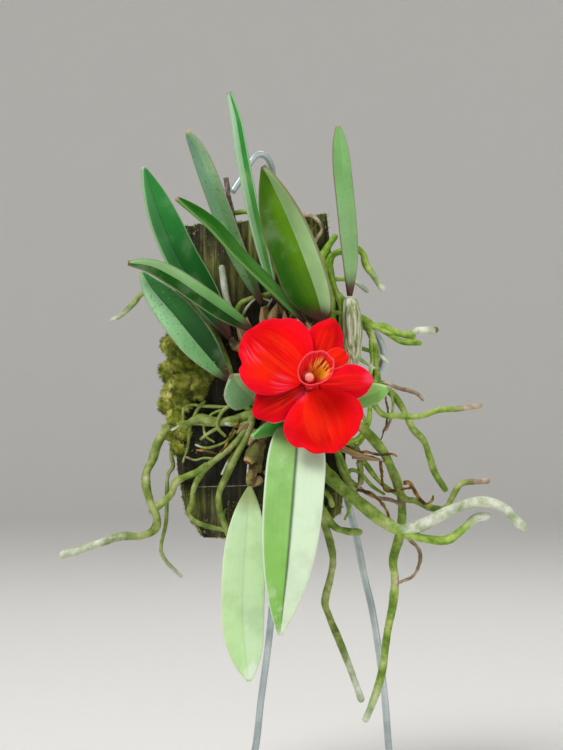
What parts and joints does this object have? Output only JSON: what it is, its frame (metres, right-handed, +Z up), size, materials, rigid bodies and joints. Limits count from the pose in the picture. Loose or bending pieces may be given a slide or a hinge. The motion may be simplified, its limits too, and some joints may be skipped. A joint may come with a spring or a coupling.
{
  "type": "mounted sophronitis orchid on a wood block with a wire stand",
  "caption": "Small red-flowered orchid with fleshy folded leaves and trailing aerial roots, grown on an upright slab of mossy wood that a bent wire with a hook and a looped foot holds up",
  "frame": {"origin": "on the floor under the middle of the object's bounding box", "axes": "+Z up, +X to the right of someone who faces the flower, +Y away from them, so the flower looks along -Y"},
  "size_m": [0.1896, 0.1241, 0.2958],
  "materials": {
    "wood": "weathered, upright grain, damp, patches of green film",
    "moss": "matt, tufted cushion",
    "rhizome": "papery brown skin over green stem",
    "pseudobulb": "ridged, dry silvery skin",
    "leaf_dark": "fleshy, waxy, dark green with a paler upper half",
    "leaf_pale": "fleshy, waxy, pale green with purple-brown margins",
    "sheath": "dry, papery, lengthways veins",
    "root": "spongy skin, green to silver white, brown at dry tips",
    "dead_stem": "dry, grey-brown",
    "petal": "soft, velvety, saturated red with fine fan veins",
    "lip": "red with an orange throat, yellow streaks and a pink rim",
    "column": "waxy, pinkish cream",
    "stalk": "smooth, reddish green",
    "wire": "galvanised, dull zinc grey"
  },
  "bodies": {
    "root": {"wood_block": "wood", "rhizome": "rhizome", "ridged_stem": "pseudobulb", "leaf_left_back": "leaf_dark", "leaf_top_left": "leaf_dark", "leaf_top_middle": "leaf_dark", "leaf_long_left": "leaf_dark", "leaf_middle": "leaf_dark", "leaf_right": "leaf_pale", "leaf_left_upper": "leaf_dark", "leaf_left_lower": "leaf_dark", "leaf_small_left": "leaf_pale", "leaf_small_right": "leaf_pale", "leaf_small_bright": "leaf_dark", "leaf_hanging_front": "leaf_pale", "leaf_hanging_left": "leaf_pale", "dry_sheath_left": "sheath", "dry_sheath_middle": "sheath", "dry_sheath_right": "sheath", "roots_left": "root", "roots_top": "root", "roots_right": "root", "roots_lower": "root", "moss": "moss", "dead_stem": "dead_stem", "flower_stalk": "stalk", "flower_neck": "petal", "sepal_dorsal": "petal", "sepal_upper": "petal", "sepal_right": "petal", "petal_upper": "petal", "petal_lower": "petal", "lip": "lip", "column": "column", "hook_wire": "wire", "stand_wire": "wire"}
  },
  "joints": []
}
